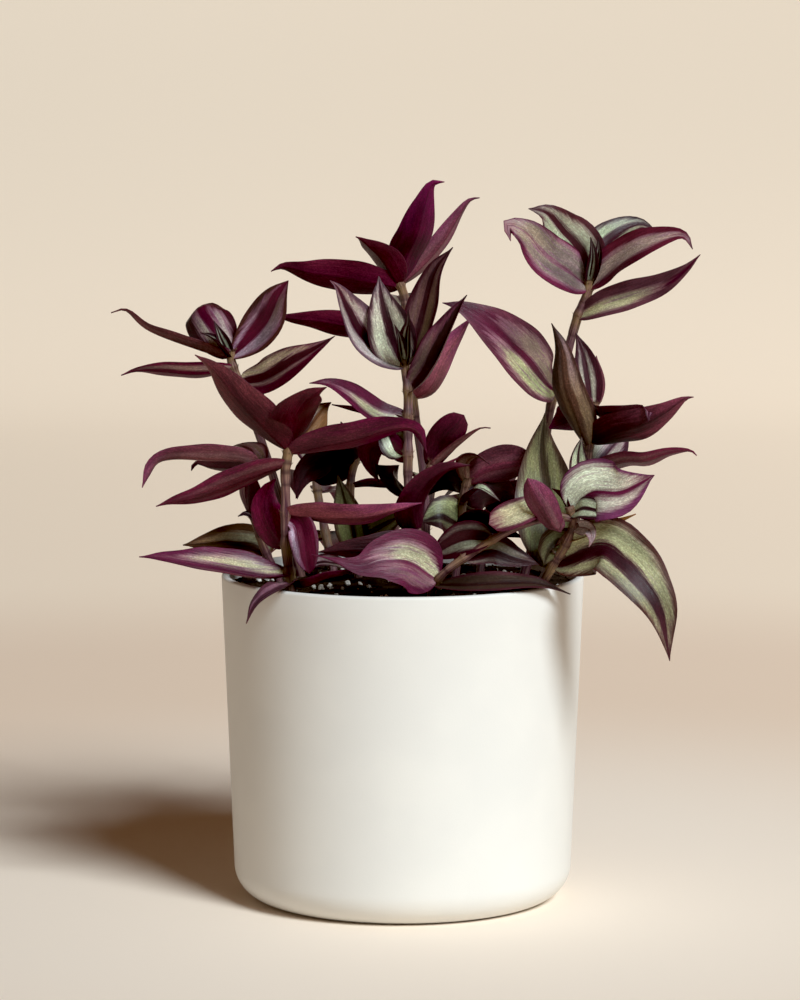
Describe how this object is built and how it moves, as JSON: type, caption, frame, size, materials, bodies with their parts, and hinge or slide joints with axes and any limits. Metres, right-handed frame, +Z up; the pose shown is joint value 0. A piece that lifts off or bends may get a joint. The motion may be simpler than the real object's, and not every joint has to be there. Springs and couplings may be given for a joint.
{
  "type": "potted tradescantia",
  "caption": "Trailing house plant with pointed striped leaves on branching stems, rooted in dark soil in a plain round tapered pot.",
  "frame": {"origin": "centre of the pot's flat base, on the surface that the pot stands on", "axes": "+Z up; the pictured front of the plant faces -Y, so +X is to the right in the picture"},
  "size_m": [0.2265, 0.1705, 0.2773],
  "materials": {
    "pot": "satin",
    "soil": "matte",
    "foliage": "satin"
  },
  "bodies": {
    "root": {"pot": "pot", "soil": "soil", "leafy_stem_back_left": "foliage", "leafy_stem_left": "foliage", "leafy_stem_front_left": "foliage", "leafy_stem_tall_centre": "foliage", "leafy_stem_centre_front": "foliage", "leafy_stem_centre_right": "foliage", "leafy_stem_right_front": "foliage", "leafy_stem_right": "foliage", "leafy_stem_right_tall": "foliage", "leafy_stem_centre_left": "foliage", "leafy_stem_back_right_low": "foliage", "leafy_stem_back_left_low": "foliage", "leafy_stem_back_centre": "foliage", "leafy_stem_back_right": "foliage"}
  },
  "joints": []
}
